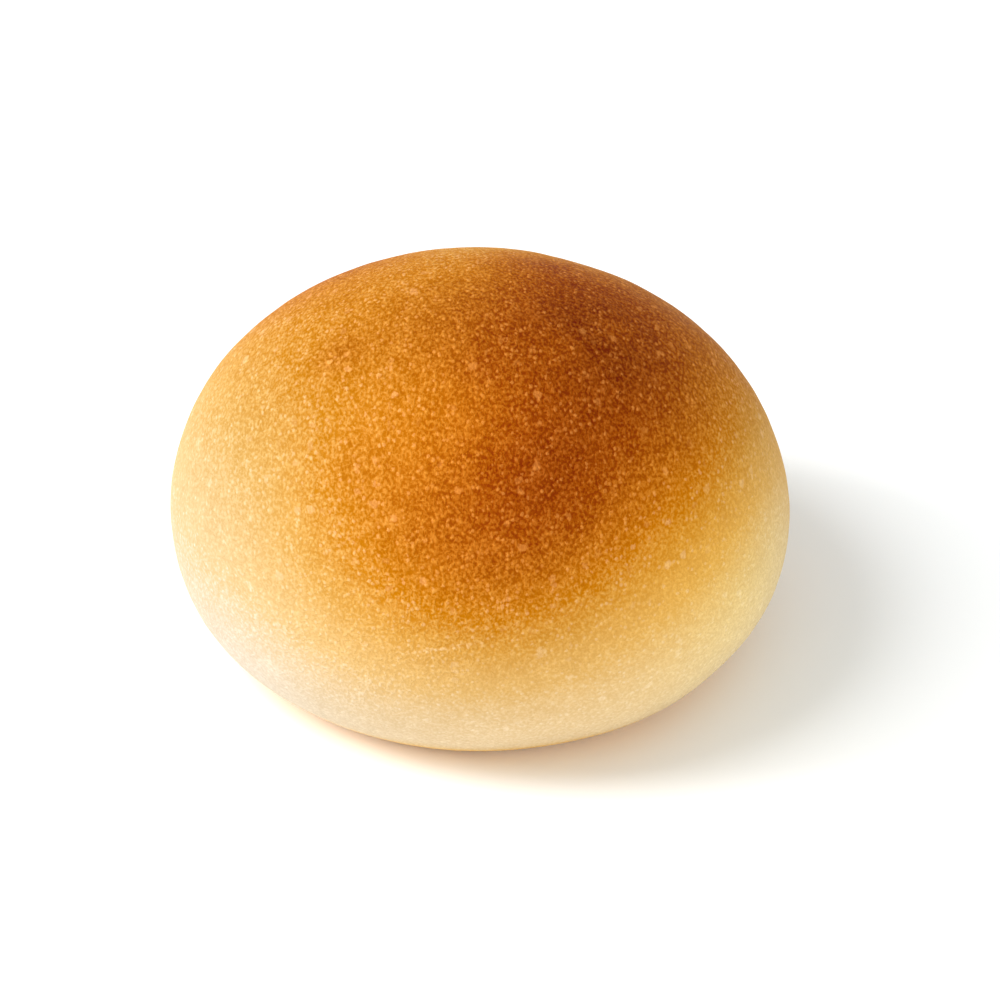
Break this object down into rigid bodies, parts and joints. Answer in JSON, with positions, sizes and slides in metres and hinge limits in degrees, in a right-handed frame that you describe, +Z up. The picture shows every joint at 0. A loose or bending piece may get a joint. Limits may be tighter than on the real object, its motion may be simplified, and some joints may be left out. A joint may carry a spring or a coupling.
{
  "type": "milk roll",
  "caption": "Plain round milk roll, a soft domed bread roll with a smooth golden crust, whole and uncut, resting on its flat underside.",
  "frame": {"origin": "middle of the flat underside, on the surface that the roll rests on", "axes": "+Z up, +X to the roll's right, along its greatest width, and -Y to its front"},
  "size_m": [0.088, 0.0856, 0.0525],
  "materials": {
    "crust": "baked bread crust, soft and almost matte: golden brown over the top, pale cream towards the left side and the foot, with a fine grain of small beads"
  },
  "bodies": {
    "root": {"milk_roll": "crust"}
  },
  "joints": []
}
